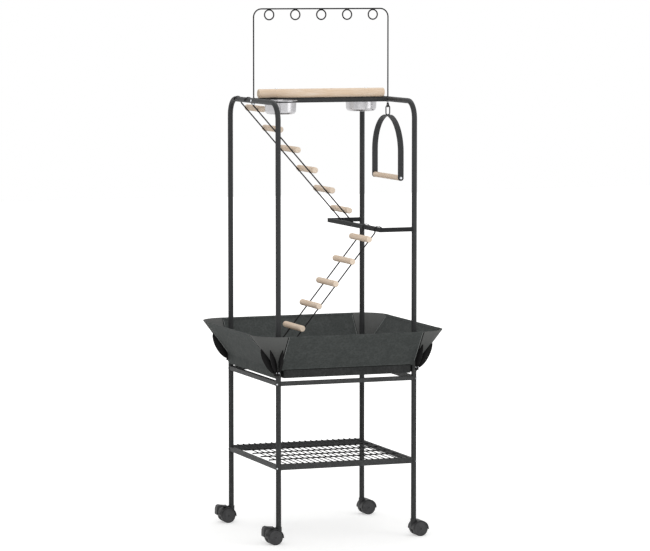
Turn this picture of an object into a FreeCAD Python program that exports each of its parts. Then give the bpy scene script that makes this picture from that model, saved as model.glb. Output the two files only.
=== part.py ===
"""Parrot play stand: a rolling base with a flared tray, and an upper stand with
perch, bowls, toy hanger, swing and two ladders.  Millimetres, +Z up, +X right,
+Y away from the front.  The origin is on the floor under the middle."""
import FreeCAD, Part
import math
import os
import Sketcher
from FreeCAD import Placement, Rotation, Vector

doc = FreeCAD.newDocument("parrot_play_stand")
sheet = doc.addObject("Spreadsheet::Sheet", "sizes")

SIZES = (
    ("leg_span", 480, "leg axis to leg axis, both ways"),
    ("tube_dia", 17.5, "round steel tube of legs, frames and cross bar"),
    ("tube_wall", 1.2, "wall of that tube"),
    ("bar_side", 14, "square tube of rails and middle frame"),
    ("bar_wall", 1.2, "wall of that tube"),
    ("cope_gap", 0.05, "weld gap where a rail meets a round leg"),
    ("foot_level", 57.3, "lower end of the legs"),
    ("splice_level", 640, "joint of lower legs and upper frames"),
    ("spigot_length", 30, "necked end that plugs into the lower leg"),
    ("frame_top", 1453.3, "axis of the frames' level tops"),
    ("frame_bend", 57, "bend radius of the upper frames"),
    ("shelf_level", 246, "underside of the shelf rails"),
    ("shelf_rail_tall", 19, "height of the front and back shelf rails"),
    ("tray_rail_level", 525, "underside of the tray rails"),
    ("top_rail_level", 577, "underside of the rails inside the skirt"),
    ("sheet_wall", 1.2, "sheet steel of skirt, corners and pan"),
    ("lip_level", 549.3, "underside of the skirt lips that carry the pan"),
    ("lip_depth", 36, "how far those lips reach in"),
    ("bend_level", 582, "where the skirt starts to flare"),
    ("rim_level", 696, "top of the skirt"),
    ("rim_span", 668, "outside of the rim, both ways"),
    ("hem_height", 7, "folded edge at the rim"),
    ("panel_half", 239, "half the length of a skirt panel"),
    ("guard_lap", 4, "straight wing of a corner piece, on the front or back panel"),
    ("guard_lap_foot", 8, "the same on a side panel, at its foot"),
    ("guard_lap_rim", 22, "the same on a side panel, at the rim"),
    ("guard_slant_level", 650, "where that wing starts to widen"),
    ("corner_foot_level", 556, "lower end of the corner pieces"),
    ("rib_tip_reach", 61, "leaf rib: tip, out from the leg axis"),
    ("rib_tip_level", 653, "leaf rib: height of its tip"),
    ("rib_foot_reach", 13, "leaf rib: foot, out from the leg axis"),
    ("rib_foot_level", 567, "leaf rib: height of its foot"),
    ("rib_depth", 17, "leaf rib: how far it stands out of that line"),
    ("rib_half_width", 7.5, "leaf rib: half its width"),
    ("pan_half", 224, "half the width of the pan"),
    ("pan_height", 26, "height of the pan"),
    ("pan_gap", 0.2, "slide clearance under the pan"),
    ("grate_pitch", 20.5, "spacing of the thin grate wires"),
    ("grate_wire", 3, "thin wires of the grate"),
    ("grate_bearer", 4.5, "cross wires of the grate"),
    ("bearer_pitch", 82, "spacing of the cross wires"),
    ("middle_level", 1022, "underside of the middle frame"),
    ("middle_reach", 118, "leg axis to the middle frame's bar axis"),
    ("perch_dia", 30, "wooden perch"),
    ("perch_length", 448, "its length"),
    ("perch_seat", 0.6, "depth of the saddle that sits on the cross bar"),
    ("overall_height", 1760, "floor to the top of the toy hanger"),
    ("hanger_wire", 4.5, "wire of the toy hanger"),
    ("hanger_bend", 28, "its bend radius"),
    ("hanger_foot", 20, "how far its left foot reaches below the frame axis"),
    ("toy_ring_outer", 37, "outer diameter of the toy rings"),
    ("toy_ring_pitch", 92.5, "their spacing"),
    ("toy_ring_weld", 1, "how far ring and wire melt together"),
    ("bowl_reach", 172.5, "bowl axis, left or right of the middle"),
    ("bowl_offset", 76, "bowl axis, before or behind the cross bar"),
    ("bowl_dia", 106, "bowl wall outside"),
    ("bowl_rim_dia", 112, "bowl rim outside"),
    ("bowl_height", 46, "height of the bowl"),
    ("bowl_taper", 2.5, "how much the wall draws in to the bottom"),
    ("bowl_corner", 11, "radius round the bottom"),
    ("bowl_wall", 0.9, "steel of the bowl"),
    ("holder_level", 1452, "axis of the holder ring's wire"),
    ("holder_wire", 4, "wire of the holder"),
    ("holder_play", 0.4, "gap between bowl wall and holder ring"),
    ("eye_level", 1433, "axis of the eye under the right frame top"),
    ("eye_radius", 6.5, "its wire's centre line"),
    ("link_wire", 4, "wire of eye and link"),
    ("link_half", 6.75, "half width of the link's centre line"),
    ("link_play", 0.3, "gap between link and eye"),
    ("swing_crown", 1401, "top of the swing strap"),
    ("swing_half", 120, "half the outside width of the strap"),
    ("swing_bow", 124, "outer radius of each half of its pointed arch"),
    ("strap_thick", 3, "thickness of the strap"),
    ("strap_width", 20, "width of the strap"),
    ("strap_tail", 9.5, "strap end below the dowel axis"),
    ("dowel_level", 1192, "axis of the swing's dowel"),
    ("dowel_dia", 18, "swing's dowel"),
    ("ladder_wire", 4.5, "wire of the ladders"),
    ("ladder_half", 54.5, "half the spacing of a ladder's wires"),
    ("ladder_hook", 12.5, "radius of the hooks' centre line"),
    ("ladder_crook", 10, "radius of the bend behind a hook"),
    ("hook_flat", 2, "thickness of the hooks, pressed flat over the bar"),
    ("ladder_run", 2, "wire line above the hook's centre"),
    ("ladder_length", 565, "hook centre to wire end"),
    ("rung_dia", 20.5, "ladder rung"),
    ("rung_length", 165, "its length"),
    ("rung_first", 50, "hook centre to first rung"),
    ("rung_pitch", 93, "spacing of the rungs"),
    ("rung_notch", 1, "depth of the notch for the wire"),
    ("rung_round", 3, "rounded edge of a rung"),
    ("upper_ladder_y", 108, "middle of the upper ladder"),
    ("lower_ladder_y", -158, "middle of the lower ladder"),
    ("wheel_dia", 50, "caster wheel"),
    ("wheel_inner", 7, "wheel's inner face, from the caster's middle"),
    ("wheel_outer", 24.5, "wheel's outer face"),
    ("caster_trail", 17.5, "wheel axle behind the swivel axis"),
    ("caster_top", 57, "top of the swivel housing"),
    ("hood_gap", 0.8, "gap between wheel and hood"),
    ("hood_wall", 2, "wall of the hood"),
    ("hood_half", 25.5, "half the width of the hood"),
    ("web_half", 5.8, "half the width of the web between the wheels"),
    ("axle_dia", 6, "caster axle"),
    ("stem_dia", 8, "caster stem"),
    ("stem_length", 28, "its length above the housing"),
    ("pin_play", 0.05, "clearance round pins and stems"),
    ("lever_rise", 3, "axis of the brake pedal's pin, above the hood"),
    ("lever_half", 11.5, "half the width of the pedal"),
    ("lever_pin", 3, "its pin"),
    ("lever_reach", 38, "pin to the pedal's outer face"),
    ("lever_drop", 28, "pin to the pedal's lower tip"),
    ("lever_crest", 6.5, "pedal's crest above the pin"),
    ("lever_thick", 4.5, "thickness of the pedal at its tip"),
)
for row, (alias, amount, meaning) in enumerate(SIZES, start=1):
    sheet.set(f"A{row}", meaning)
    sheet.set(f"B{row}", str(amount))
    sheet.setAlias(f"B{row}", alias)
doc.recompute()

ALIASES = {alias for alias, amount, meaning in SIZES}
ALONG_X = Rotation(Vector(0, 1, 0), 90)
ALONG_Y = Rotation(Vector(1, 0, 0), -90)
ALONG_Z = Rotation()
SIDES = (("left", -1), ("right", 1))
DEPTHS = (("front", -1), ("back", 1))
CORNERS = [(f"{depth}_{side}", x_sign, y_sign)
           for depth, y_sign in DEPTHS for side, x_sign in SIDES]
nodes = []


def size(name):
    """A length from the sheet, or from an expression on it."""
    return float(sheet.evalExpression(name))


def bound(text):
    """The same expression, as another object of the document has to write it."""
    return " ".join(f"sizes.{word}" if word in ALIASES else word for word in text.split())


def bind(thing, **expressions):
    for key, text in expressions.items():
        thing.setExpression(key, bound(text))


def place(thing, x="0", y="0", z="0"):
    for axis, text in (("x", x), ("y", y), ("z", z)):
        thing.setExpression(f"Placement.Base.{axis}", bound(text))
    return thing


def box(name, length, width, height, x, y, z):
    thing = doc.addObject("Part::Box", name)
    bind(thing, Length=length, Width=width, Height=height)
    return place(thing, x, y, z)


def rod(name, radius, length, x="0", y="0", z="0", turn=ALONG_Z):
    thing = doc.addObject("Part::Cylinder", name)
    thing.Placement = Placement(Vector(), turn)
    bind(thing, Radius=radius, Height=length)
    return place(thing, x, y, z)


def loop(name, ring_radius, wire_radius, x="0", y="0", z="0", turn=ALONG_Z):
    thing = doc.addObject("Part::Torus", name)
    thing.Placement = Placement(Vector(), turn)
    bind(thing, Radius1=ring_radius, Radius2=wire_radius)
    return place(thing, x, y, z)


def join(name, pieces):
    thing = doc.addObject("Part::MultiFuse", name)
    thing.Shapes = pieces
    return thing


def cut(name, base, tools):
    tool = tools[0] if len(tools) == 1 else join(f"{name}_tools", tools)
    thing = doc.addObject("Part::Cut", name)
    thing.Base = base
    thing.Tool = tool
    return thing


def keep(thing, label):
    """Marks an object as a finished sub-part under its own name."""
    thing.Label = label
    nodes.append(thing)
    return thing


def new_body(name):
    return doc.addObject("PartDesign::Body", name)


def new_sketch(body, name, role, offset="0"):
    """A sketch on one of the body's own origin planes."""
    sketch = body.newObject("Sketcher::SketchObject", name)
    flat = [part for part in body.Origin.OriginFeatures if part.Role == role][0]
    sketch.AttachmentSupport = [(flat, "")]
    sketch.MapMode = "FlatFace"
    sketch.setExpression("AttachmentOffset.Base.z", bound(offset))
    return sketch


def outline(sketch, corners):
    """A closed outline through corners, each held by two bound distances."""
    places = [Vector(size(x), size(y), 0) for x, y in corners]
    count = len(places)
    for i in range(count):
        sketch.addGeometry(Part.LineSegment(places[i], places[(i + 1) % count]), False)
    for i in range(count):
        sketch.addConstraint(Sketcher.Constraint("Coincident", i, 2, (i + 1) % count, 1))
    for i, (x, y) in enumerate(corners):
        for kind, text, amount in (("DistanceX", x, places[i].x), ("DistanceY", y, places[i].y)):
            index = sketch.addConstraint(Sketcher.Constraint(kind, -1, 1, i, 1, amount))
            sketch.setExpression(f"Constraints[{index}]", bound(text))


def circle(sketch, radius, x="0", y="0"):
    middle = Vector(size(x), size(y), 0)
    index = sketch.addGeometry(Part.Circle(middle, Vector(0, 0, 1), size(radius)), False)
    rules = (("Radius", (index, size(radius)), radius),
             ("DistanceX", (-1, 1, index, 3, middle.x), x),
             ("DistanceY", (-1, 1, index, 3, middle.y), y))
    for kind, details, text in rules:
        number = sketch.addConstraint(Sketcher.Constraint(kind, *details))
        sketch.setExpression(f"Constraints[{number}]", bound(text))


def portal(sketch, half, foot, top, bend, other_foot=None):
    """An upside-down U: two legs, two bends and a level top."""
    reach, low, high, curve = size(half), size(foot), size(top), size(bend)
    other_low = size(other_foot or foot)
    sketch.addGeometry(Part.LineSegment(Vector(-reach, low, 0), Vector(-reach, high - curve, 0)))
    left_turn = Part.Circle(Vector(curve - reach, high - curve, 0), Vector(0, 0, 1), curve)
    sketch.addGeometry(Part.ArcOfCircle(left_turn, math.pi / 2, math.pi))
    sketch.addGeometry(Part.LineSegment(Vector(curve - reach, high, 0),
                                        Vector(reach - curve, high, 0)))
    right_turn = Part.Circle(Vector(reach - curve, high - curve, 0), Vector(0, 0, 1), curve)
    sketch.addGeometry(Part.ArcOfCircle(right_turn, 0, math.pi / 2))
    sketch.addGeometry(Part.LineSegment(Vector(reach, high - curve, 0),
                                        Vector(reach, other_low, 0)))
    for rule in (("Vertical", 0), ("Horizontal", 2), ("Vertical", 4),
                 ("Tangent", 0, 2, 1, 2), ("Tangent", 1, 1, 2, 1),
                 ("Tangent", 2, 2, 3, 2), ("Tangent", 3, 1, 4, 1), ("Equal", 1, 3)):
        sketch.addConstraint(Sketcher.Constraint(*rule))
    rules = (("Radius", (1, curve), bend),
             ("DistanceX", (-1, 1, 0, 1, -reach), f"0 - ( {half} )"),
             ("DistanceY", (-1, 1, 0, 1, low), foot),
             ("DistanceY", (-1, 1, 2, 1, high), top),
             ("DistanceX", (-1, 1, 4, 2, reach), half),
             ("DistanceY", (-1, 1, 4, 2, other_low), other_foot or foot))
    for kind, details, text in rules:
        index = sketch.addConstraint(Sketcher.Constraint(kind, *details))
        sketch.setExpression(f"Constraints[{index}]", bound(text))


def pad(body, sketch, length):
    feature = body.newObject("PartDesign::Pad", f"{sketch.Name}_pad")
    feature.Profile = sketch
    bind(feature, Length=length)
    return feature


def revolve(body, sketch, axis="V_Axis", degrees=360):
    feature = body.newObject("PartDesign::Revolution", f"{sketch.Name}_turned")
    feature.Profile = sketch
    feature.ReferenceAxis = (sketch, [axis])
    feature.Angle = degrees
    return feature


def pipe(body, profile, spine):
    feature = body.newObject("PartDesign::AdditivePipe", f"{profile.Name}_pipe")
    feature.Profile = profile
    feature.Spine = spine
    return feature


def rounded(body, base, radius, wanted):
    """A fillet on every edge of the base that the test picks."""
    doc.recompute()
    names = [f"Edge{i}" for i, edge in enumerate(base.Shape.Edges, start=1) if wanted(edge)]
    feature = body.newObject("PartDesign::Fillet", f"{base.Name}_rounded")
    feature.Base = (base, names)
    bind(feature, Radius=radius)
    return feature


def turned(name, points, turn=ALONG_Z):
    """A body of revolution: points are (radius, height) along its own axis."""
    body = new_body(name)
    sketch = new_sketch(body, f"{name}_profile", "XZ_Plane")
    outline(sketch, points)
    revolve(body, sketch)
    body.Placement = Placement(Vector(), turn)
    return body


def signed(sign, text):
    return text if sign > 0 else f"0 - ( {text} )"


# Lower legs: tube with a bush in the foot for the caster's stem.
def lower_leg(corner, x_sign, y_sign):
    x, y = signed(x_sign, "leg_span / 2"), signed(y_sign, "leg_span / 2")
    name = f"leg_{corner}"
    tall = "splice_level - foot_level"
    tube = cut(f"{name}_tube", rod(f"{name}_outer", "tube_dia / 2", tall, x, y, "foot_level"),
               [rod(f"{name}_inner", "tube_dia / 2 - tube_wall", tall, x, y, "foot_level")])
    bush = cut(f"{name}_bush",
               rod(f"{name}_bush_outer", "tube_dia / 2 - tube_wall / 2", "stem_length + 2",
                   x, y, "foot_level"),
               [rod(f"{name}_bush_bore", "stem_dia / 2 + pin_play", "stem_length + 2",
                    x, y, "foot_level")])
    keep(join(name, [tube, bush]), f"lower_leg_{corner}")


# Rails: square tube, hollow, its ends coped to the round legs.
def rail(label, along_x, sign, width, height, level, shift="0"):
    line = signed(sign, f"leg_span / 2 + {shift}")
    run = "leg_span" if along_x or shift != "0" else "( leg_span - bar_side - 2 * cope_gap )"
    shells = []
    for part, wall in (("outer", "0"), ("inner", "bar_wall")):
        wide, tall = f"{width} - 2 * {wall}", f"{height} - 2 * {wall}"
        across, up = f"{line} - ( {width} ) / 2 + {wall}", f"{level} + {wall}"
        if along_x:
            shells.append(box(f"{label}_{part}", run, wide, tall,
                              f"0 - {run} / 2", across, up))
        else:
            shells.append(box(f"{label}_{part}", wide, run, tall,
                              across, f"0 - {run} / 2", up))
    copes = []
    for end in (-1, 1):
        here, there = signed(end, "leg_span / 2"), signed(sign, "leg_span / 2")
        x, y = (here, there) if along_x else (there, here)
        copes.append(rod(f"{label}_cope", "tube_dia / 2 + cope_gap", f"{height} + 2",
                         x, y, f"{level} - 1"))
    keep(cut(f"{label}_rail", shells[0], [shells[1]] + copes), label)


# Wire grate: thin wires from front to back on a few bearers.
def grate(label, seat):
    wires = []
    thin, half = size("grate_pitch"), size("leg_span / 2")
    count = int((half - 20) / thin)
    for i in range(-count, count + 2):
        wires.append(rod(f"{label}_wire", "grate_wire / 2", "leg_span + 14",
                         f"grate_pitch * ( {i} - 0.5 )", "0 - leg_span / 2 - 7",
                         f"{seat} + grate_wire / 2 + cope_gap", ALONG_Y))
    for i in (-1.5, -0.5, 0.5, 1.5):
        wires.append(rod(f"{label}_bearer", "grate_bearer / 2", "leg_span - 16",
                         "0 - leg_span / 2 + 8", f"bearer_pitch * {i}",
                         f"{seat} - grate_bearer / 2 + 0.4", ALONG_X))
    keep(join(f"{label}_weld", wires), label)


# Skirt panels: a sheet section pushed along the side, lip, wall, flare and hem.
FLARE = "( rim_span / 2 - leg_span / 2 - tube_dia / 2 ) / ( rim_level - bend_level )"


def skirt(label, turn, open_below):
    body = new_body(f"{label}_body")
    sketch = new_sketch(body, f"{label}_section", "XZ_Plane", "0 - panel_half")
    inside = "leg_span / 2 + tube_dia / 2"
    outside = f"{inside} + sheet_wall"
    rim = "rim_span / 2"
    hem = f"rim_level - hem_height"
    hem_in = f"{rim} - {FLARE} * hem_height"
    upper = [(f"{outside}", "bend_level"), (rim, "rim_level"),
             (f"{rim} - 2.4 * sheet_wall", "rim_level"),
             (f"{hem_in} - 2.4 * sheet_wall", hem),
             (f"{hem_in} - 1.3 * sheet_wall", hem),
             (inside, "bend_level")]
    if open_below:
        lower = [(inside, "top_rail_level"), (outside, "top_rail_level")]
    else:
        lower = [(inside, "lip_level + sheet_wall"),
                 (f"{inside} - lip_depth", "lip_level + sheet_wall"),
                 (f"{inside} - lip_depth", "lip_level"), (outside, "lip_level")]
    outline(sketch, upper + lower)
    pad(body, sketch, "2 * panel_half")
    if open_below:
        result = body
    else:
        # The lip is notched round the two legs.
        clear = f"( {inside} - lip_depth - cope_gap )"
        notches = [box(f"{label}_notch", "lip_depth + 1", "lip_depth", "3 * sheet_wall",
                       f"{inside} - lip_depth - 1", y, "lip_level - sheet_wall")
                   for y in (clear, f"0 - {clear} - lip_depth")]
        result = cut(f"{label}_trimmed", body, notches)
    result.Placement = Placement(Vector(), Rotation(Vector(0, 0, 1), turn))
    keep(result, label)


# Corner pieces: a quarter turn of the panels' own section round the leg axis,
# with a straight wing at each end that laps over the panel beside it.  The wing
# on the side panel gets wider towards the rim.
def corner_guard(corner, x_sign, y_sign, turn):
    body = new_body(f"corner_{corner}")
    inner = "tube_dia / 2 + sheet_wall + 0.05"
    grown = "rim_span / 2 - leg_span / 2"
    points = [(inner, "corner_foot_level"), (f"{inner} + sheet_wall", "corner_foot_level"),
              (f"{inner} + sheet_wall", "bend_level"),
              (f"{grown} + 1.3 * sheet_wall", "rim_level"),
              (f"{grown} + 0.05", "rim_level"), (inner, "bend_level")]
    fan = new_sketch(body, f"fan_{corner}", "XZ_Plane")
    outline(fan, points)
    revolve(body, fan, degrees=90)
    side_first = turn % 180 == 0
    laps = ("guard_lap_rim", "guard_lap") if side_first else ("guard_lap", "guard_lap_rim")
    wing = new_sketch(body, f"wing_{corner}", "XZ_Plane")
    outline(wing, points)
    pad(body, wing, laps[0])
    other = new_sketch(body, f"other_wing_{corner}", "YZ_Plane", f"0 - {laps[1]}")
    outline(other, points)
    pad(body, other, laps[1])
    slant = new_body(f"slant_{corner}")
    plane, offset = ("YZ_Plane", "0") if side_first else ("XZ_Plane", "0 - rim_span / 2")
    edge = new_sketch(slant, f"slant_edge_{corner}", plane, offset)
    low, away = "corner_foot_level - 1", "0 - 2 * guard_lap_rim"
    outline(edge, [("0 - guard_lap_foot", low), ("0 - guard_lap_foot", "guard_slant_level"),
                   ("0 - guard_lap_rim", "rim_level"), (away, "rim_level"), (away, low)])
    pad(slant, edge, "rim_span / 2")
    guard = cut(f"guard_{corner}", body, [slant])
    guard.Placement = Placement(Vector(x_sign * size("leg_span / 2"),
                                       y_sign * size("leg_span / 2"), 0),
                                Rotation(Vector(0, 0, 1), turn))
    keep(guard, f"corner_guard_{corner}")


# Leaf ribs: each leaf is a pressed pleat, what two long barrels have in common
# when their axes stand a little to the left and right of the line from its foot
# to its tip.  Three of them stand on one collar round the leg.
def leaf(angle):
    tip = Vector(size("rib_tip_reach"), 0, size("rib_tip_level"))
    foot = Vector(size("rib_foot_reach"), 0, size("rib_foot_level"))
    line = tip - foot
    half = line.Length / 2
    deep, wide = size("rib_depth"), size("rib_half_width")
    belly = (deep ** 2 / wide + wide) / 2
    offset = belly - wide
    bend = (half ** 2 + wide ** 2) / (2 * wide)
    edge = 0.5 * offset
    reach = math.sqrt(bend ** 2 - (bend - belly + edge) ** 2)
    arc = Part.Arc(Vector(edge, 0, half - reach), Vector(belly, 0, half),
                   Vector(edge, 0, half + reach))
    ends = [Vector(edge, 0, half + reach), Vector(0, 0, half + reach),
            Vector(0, 0, half - reach), Vector(edge, 0, half - reach)]
    sides = [Part.makeLine(ends[i], ends[i + 1]) for i in range(3)]
    barrel = Part.Face(Part.Wire([arc.toShape()] + sides)).revolve(Vector(), Vector(0, 0, 1), 360)
    twin = barrel.copy()
    barrel.translate(Vector(0, offset, 0))
    twin.translate(Vector(0, -offset, 0))
    pleat = barrel.common(twin)
    pleat.Placement = Placement(foot, Rotation(Vector(0, 0, 1), line))
    pleat.rotate(Vector(), Vector(0, 0, 1), angle)
    return pleat


def leaf_ribs(corner, x_sign, y_sign, turn):
    inner, outer = size("tube_dia / 2 + 2 * sheet_wall + 0.1"), size("rib_foot_reach + 3")
    low, high = size("rib_foot_level - 8"), size("rib_foot_level + 8")
    collar = Part.makeCylinder(outer, high - low, Vector(0, 0, low), Vector(0, 0, 1), 90)
    leaves = [leaf(angle) for angle in (6, 45, 84)]
    keep_out = Part.makeCone(inner, inner + size("rim_span / 2 - leg_span / 2 - tube_dia / 2"),
                             size("rim_level - bend_level"), Vector(0, 0, size("bend_level")))
    shaft = Part.makeCylinder(inner, 200, Vector(0, 0, low - 60))
    solid = collar.fuse(leaves).cut([keep_out, shaft]).removeSplitter()
    ribs = doc.addObject("Part::Feature", f"ribs_{corner}")
    ribs.Shape = solid
    ribs.Placement = Placement(Vector(x_sign * size("leg_span / 2"),
                                      y_sign * size("leg_span / 2"), 0),
                               Rotation(Vector(0, 0, 1), turn))
    keep(ribs, f"corner_ribs_{corner}")


# Pull-out pan: an open sheet box with a folded front.
def pan():
    outer = box("pan_outer", "2 * pan_half", "leg_span - 4", "pan_height",
                "0 - pan_half", "0 - leg_span / 2 - tube_dia / 2",
                "lip_level + sheet_wall + pan_gap")
    inner = box("pan_inner", "2 * pan_half - 2 * sheet_wall", "leg_span - 4 - 2 * sheet_wall",
                "pan_height", "sheet_wall - pan_half",
                "0 - leg_span / 2 - tube_dia / 2 + sheet_wall",
                "lip_level + 2 * sheet_wall + pan_gap")
    keep(cut("pan_cut", outer, [inner]), "pull_out_pan")


# Upper frames: one bent tube each, ends necked down to plug into the lower legs.
def upper_frame(side, sign):
    name = f"frame_{side}"
    body = new_body(f"{name}_body")
    spine = new_sketch(body, f"{name}_spine", "YZ_Plane")
    portal(spine, "leg_span / 2", "splice_level", "frame_top", "frame_bend")
    ring = new_sketch(body, f"{name}_ring", "XY_Plane", "splice_level")
    circle(ring, "tube_dia / 2", "0", "0 - leg_span / 2")
    circle(ring, "tube_dia / 2 - tube_wall", "0", "0 - leg_span / 2")
    pipe(body, ring, spine)
    pieces = [body]
    fit = "tube_dia / 2 - tube_wall - pin_play"
    for end in (-1, 1):
        y = signed(end, "leg_span / 2")
        low = "splice_level - spigot_length"
        neck = join(f"{name}_neck_solid", [
            rod(f"{name}_neck", fit, "spigot_length + 4", "0", y, low),
            rod(f"{name}_shoulder", "tube_dia / 2 - tube_wall / 2", "4", "0", y, "splice_level")])
        pieces.append(cut(f"{name}_spigot", neck,
                          [rod(f"{name}_neck_bore", f"{fit} - tube_wall", "spigot_length + 4",
                               "0", y, low)]))
    whole = join(f"{name}_whole", pieces)
    drilled = cut(f"{name}_drilled", whole,
                  [rod(f"{name}_hole", "hanger_wire / 2 + pin_play", "2 * tube_dia",
                       "0", "0", "frame_top - tube_dia")])
    place(drilled, signed(sign, "leg_span / 2"))
    keep(drilled, f"{side}_upper_frame")


def cross_bar():
    span, level = "leg_span", "frame_top"
    outer = rod("cross_outer", "tube_dia / 2", span, "0 - leg_span / 2", "0", level, ALONG_X)
    inner = rod("cross_inner", "tube_dia / 2 - tube_wall", span, "0 - leg_span / 2", "0", level,
                ALONG_X)
    copes = [rod("cross_cope", "tube_dia / 2 + cope_gap", "60", signed(end, "leg_span / 2"),
                 "0 - 30", level, ALONG_Y) for end in (-1, 1)]
    copes += [rod("cross_hole", "hanger_wire / 2 + pin_play", "2 * tube_dia",
                  signed(end, "leg_span / 2"), "0", f"{level} - tube_dia") for end in (-1, 1)]
    keep(cut("cross_cut", outer, [inner] + copes), "cross_bar")


def perch():
    body = new_body("perch_body")
    sketch = new_sketch(body, "perch_section", "YZ_Plane", "0 - perch_length / 2")
    circle(sketch, "perch_dia / 2", "0", "frame_top + tube_dia / 2 + perch_dia / 2 - perch_seat")
    dowel = pad(body, sketch, "perch_length")
    rounded(body, dowel, "rung_round", lambda edge: edge.Curve.TypeId == "Part::GeomCircle")
    saddle = rod("perch_saddle", "tube_dia / 2 + cope_gap", "leg_span", "0 - leg_span / 2",
                 "0", "frame_top", ALONG_X)
    keep(cut("perch_cut", body, [saddle]), "perch")


# Toy hanger: one bent wire with welded rings; its right foot ends in an eye.
def toy_hanger():
    body = new_body("hanger_body")
    spine = new_sketch(body, "hanger_spine", "XZ_Plane")
    portal(spine, "leg_span / 2", "frame_top - hanger_foot",
           "overall_height - hanger_wire / 2", "hanger_bend", "eye_level + eye_radius")
    ring = new_sketch(body, "hanger_section", "XY_Plane", "frame_top - hanger_foot")
    circle(ring, "hanger_wire / 2", "0 - leg_span / 2", "0")
    pipe(body, ring, spine)
    flat = Rotation(Vector(1, 0, 0), 90)
    drop = "overall_height - hanger_wire - toy_ring_outer / 2 + toy_ring_weld"
    rings = [loop("toy_ring", "toy_ring_outer / 2 - hanger_wire / 2", "hanger_wire / 2",
                  f"toy_ring_pitch * {i}", "0", drop, flat) for i in (-2, -1, 0, 1, 2)]
    eye = loop("swing_eye", "eye_radius", "link_wire / 2", "leg_span / 2", "0", "eye_level",
               ALONG_X)
    keep(join("hanger_whole", [body] + rings + [eye]), "toy_hanger")


# Bowl holders: a wire ring on two stubs and a plate against the cross bar.
def bowl_holder(side, sign):
    name = f"holder_{side}"
    x, y = signed(sign, "bowl_reach"), signed(sign, "bowl_offset")
    ring_radius = "bowl_dia / 2 + holder_play + holder_wire / 2"
    ring = loop(f"{name}_ring", ring_radius, "holder_wire / 2", x, y, "holder_level")
    inner_edge = "tube_dia / 2 + cope_gap"
    plate_y = inner_edge if sign > 0 else f"0 - ( {inner_edge} + 2.5 )"
    plate = box(f"{name}_plate", "32", "2.5", "16", f"{x} - 16", plate_y, "holder_level - 8")
    stub = f"bowl_offset - tube_dia / 2 - ( {ring_radius} ) - 0.4"
    stub_y = f"{inner_edge} + 1" if sign > 0 else f"0 - ( {inner_edge} + 1 + {stub} )"
    stubs = [rod(f"{name}_stub", "holder_wire / 2", stub, f"{x} + {shift}", stub_y,
                 "holder_level", ALONG_Y) for shift in (-9, 9)]
    keep(join(f"{name}_whole", [ring, plate] + stubs), f"bowl_holder_{side}")


def bowl(side, sign):
    name = f"bowl_{side}"
    body = new_body(f"{name}_body")
    sketch = new_sketch(body, f"{name}_profile", "XZ_Plane")
    wall, top = "bowl_dia / 2", "bowl_height"
    outline(sketch, [
        ("0", "0"), (f"{wall} - bowl_taper", "0"), (wall, f"{top} - 3 * bowl_wall"),
        (f"bowl_rim_dia / 2", f"{top} - 3 * bowl_wall"),
        (f"bowl_rim_dia / 2", f"{top} - bowl_wall"),
        (f"bowl_rim_dia / 2 - bowl_wall", top),
        (f"{wall} - bowl_wall", top),
        (f"{wall} - bowl_taper - bowl_wall", "bowl_wall"), ("0", "bowl_wall")])
    shell = revolve(body, sketch)
    low = rounded(body, shell, "bowl_corner", lambda edge: _level_ring(edge, 0))
    rounded(body, low, "bowl_corner - bowl_wall",
            lambda edge: _level_ring(edge, size("bowl_wall")))
    place(body, signed(sign, "bowl_reach"), signed(sign, "bowl_offset"),
          "holder_level + holder_wire / 2 + 0.1 + 3 * bowl_wall - bowl_height")
    keep(body, f"bowl_{side}")


def _level_ring(edge, level):
    """True for the wide circle round the bowl's bottom at this height."""
    ring = edge.Curve.TypeId == "Part::GeomCircle" and edge.Curve.Radius > 40
    return ring and abs(edge.BoundBox.ZMin - level) < 0.01 and edge.BoundBox.ZLength < 0.01


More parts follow.
